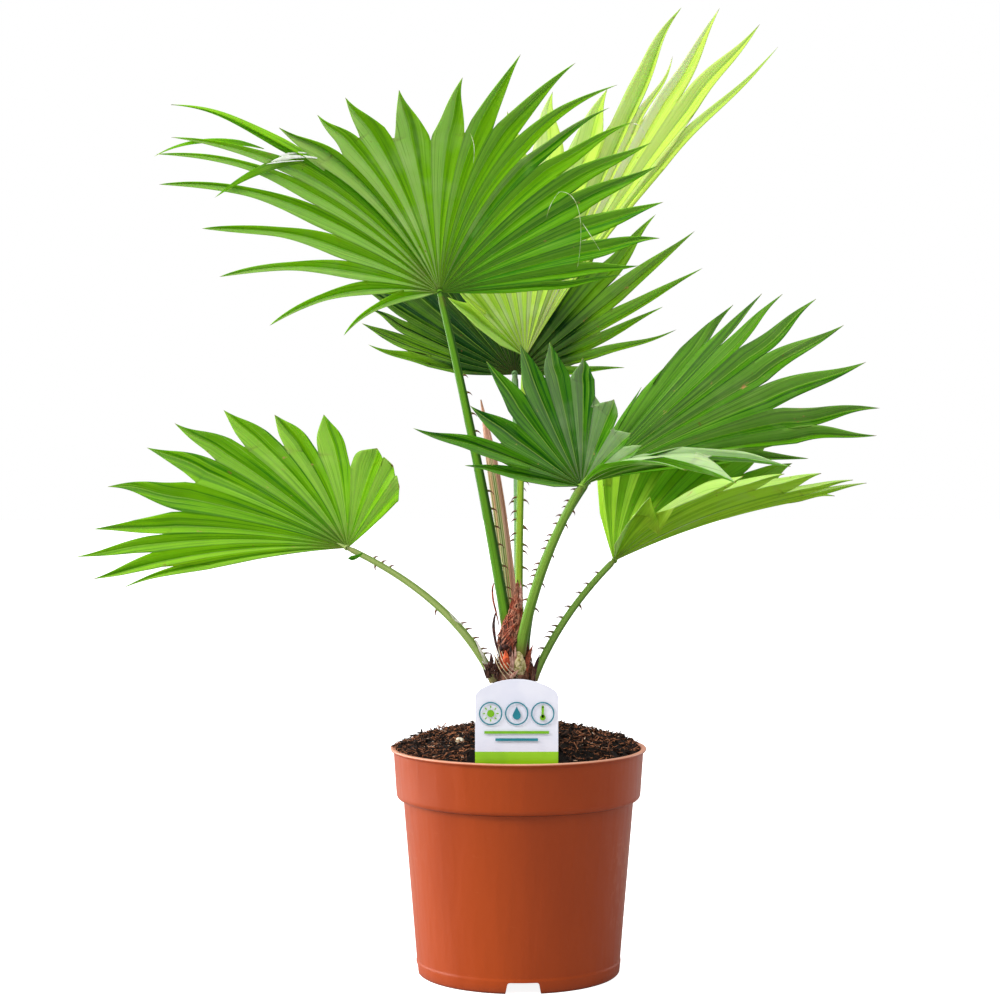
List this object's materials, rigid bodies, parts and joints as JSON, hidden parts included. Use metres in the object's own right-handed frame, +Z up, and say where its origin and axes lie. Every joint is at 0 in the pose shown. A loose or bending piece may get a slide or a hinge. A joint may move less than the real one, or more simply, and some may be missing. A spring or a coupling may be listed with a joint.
{
  "type": "potted chinese fan palm",
  "caption": "Young chinese fan palm: pleated fan leaves on thorny stalks rise from a short fibrous stem in a round nursery pot of compost with a plain plant label.",
  "frame": {"origin": "centre of the pot's flat underside, which stands on the floor", "axes": "+Z up, +X to the plant's right as seen from the front, +Y from its front to its back"},
  "size_m": [0.541, 0.2942, 0.6646],
  "materials": {
    "pot_plastic": "moulded, satin",
    "compost": "loose, damp",
    "label_card": "printed, smooth",
    "stem_fibre": "fibrous, dry",
    "spear_leaf": "folded leaf, satin",
    "petiole": "smooth, satin",
    "leaf_blade": "waxy, satin",
    "young_leaf_blade": "waxy, satin"
  },
  "bodies": {
    "root": {"pot": "pot_plastic", "compost": "compost", "label": "label_card", "stem": "stem_fibre", "spear": "spear_leaf", "petiole_high_left": "petiole", "blade_high_left": "leaf_blade", "petiole_high_right": "petiole", "blade_high_right": "young_leaf_blade", "petiole_high_back": "petiole", "blade_high_back": "leaf_blade", "petiole_middle_front": "petiole", "blade_middle_front": "leaf_blade", "petiole_middle_right": "petiole", "blade_middle_right": "leaf_blade", "petiole_low_right": "petiole", "blade_low_right": "young_leaf_blade", "petiole_low_left": "petiole", "blade_low_left": "leaf_blade"}
  },
  "joints": []
}
